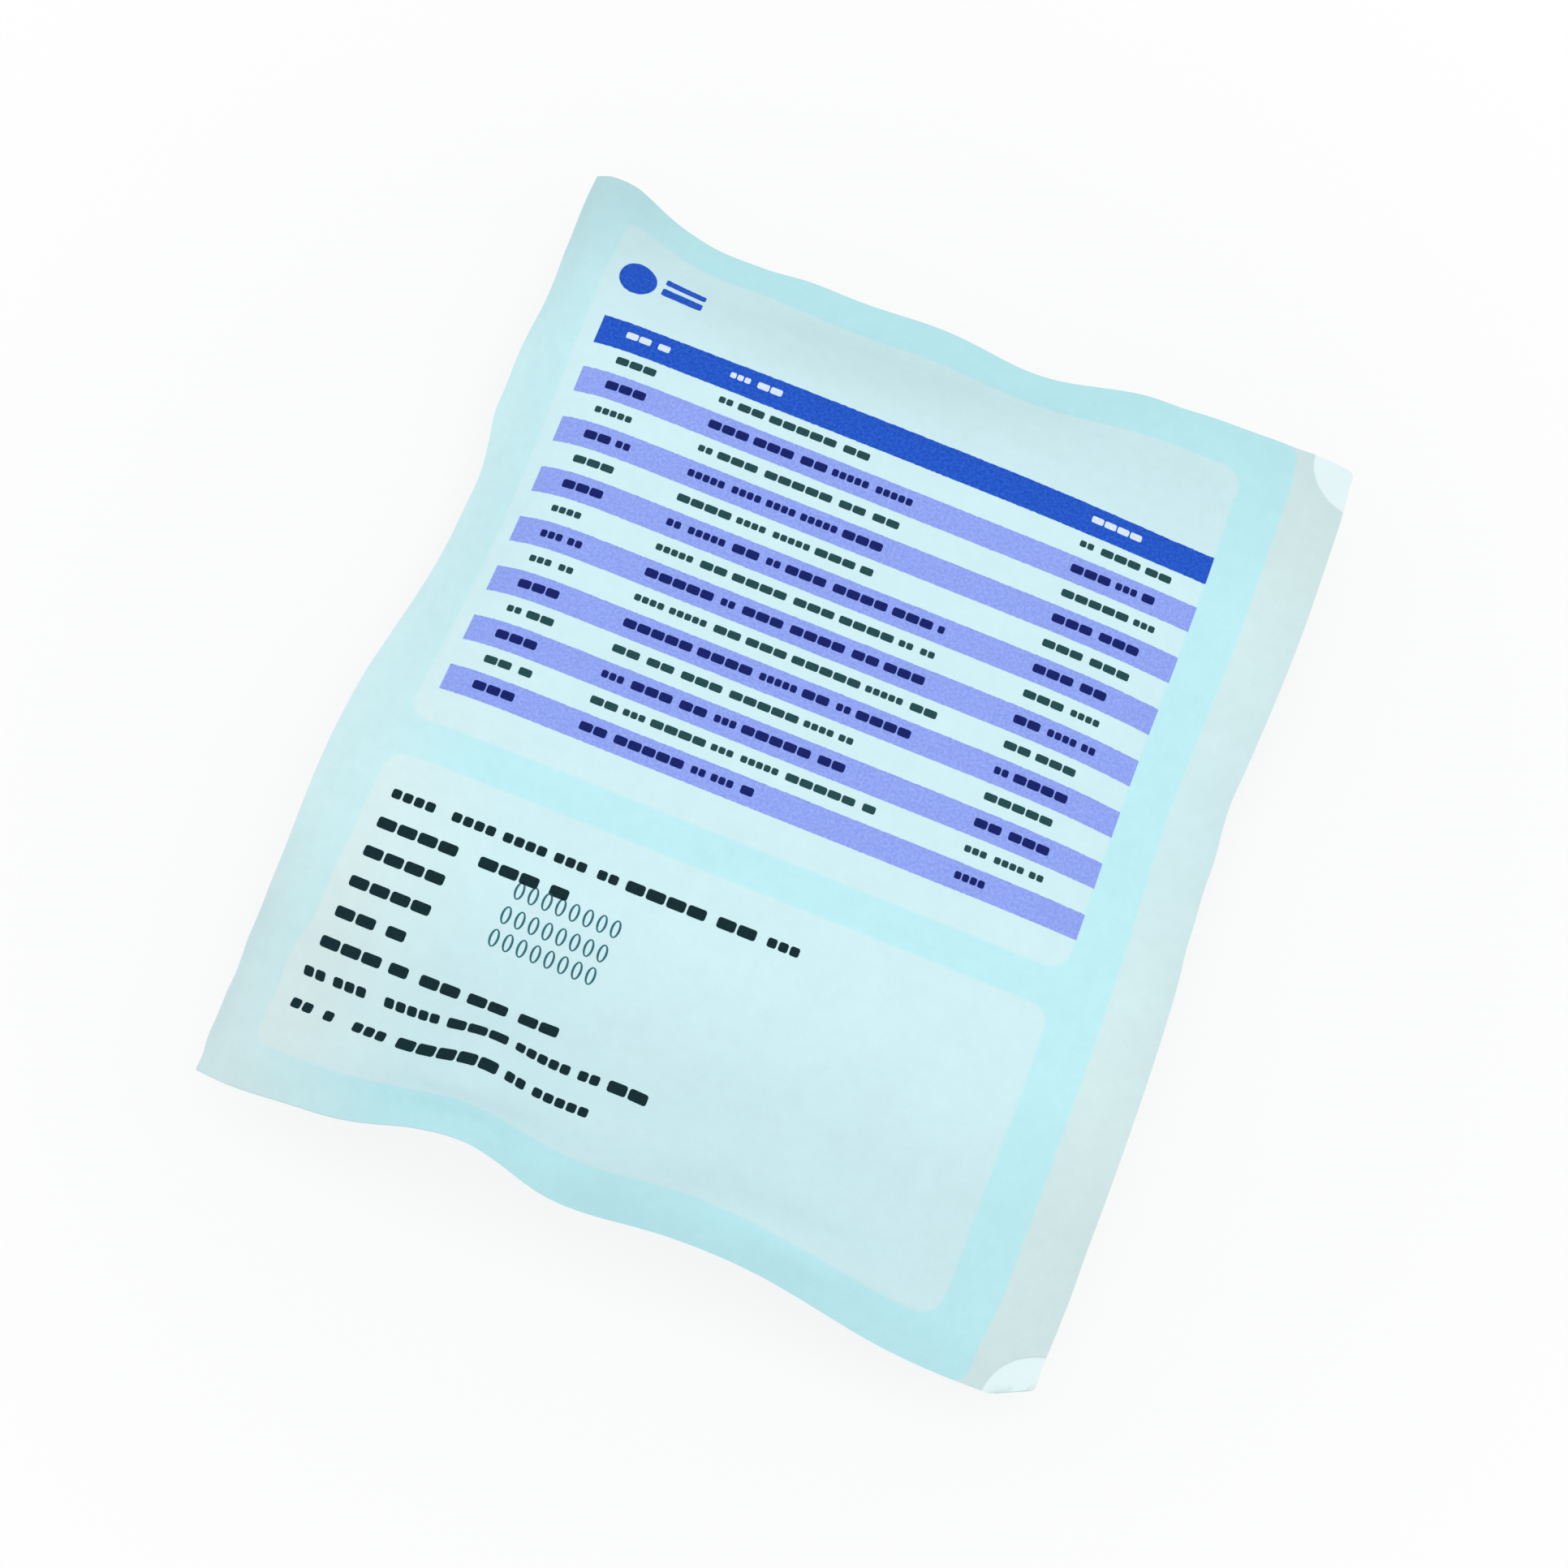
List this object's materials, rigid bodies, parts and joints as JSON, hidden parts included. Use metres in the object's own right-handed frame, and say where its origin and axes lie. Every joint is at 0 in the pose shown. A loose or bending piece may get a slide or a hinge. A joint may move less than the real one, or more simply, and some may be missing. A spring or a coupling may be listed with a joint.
{
  "type": "sealed peel pouch",
  "caption": "Closed peel pouch for small laboratory tubes: a printed paper sheet welded all round to a soft film web with one drawn pocket.",
  "frame": {"origin": "middle of the pouch's plan box, on the flat floor of its pocket, which rests on the bench", "axes": "+X along the lines of print, from the plain edge to the edge with the two peel corners; +Y up the page, towards its top edge; +Z out of the printed paper, away from the bench"},
  "size_m": [0.1196, 0.1454, 0.0277],
  "materials": {
    "printed_paper_and_film": "matt printed medical paper in pale aqua over soft translucent film"
  },
  "bodies": {
    "root": {"sealed_pouch": "printed_paper_and_film"}
  },
  "joints": []
}
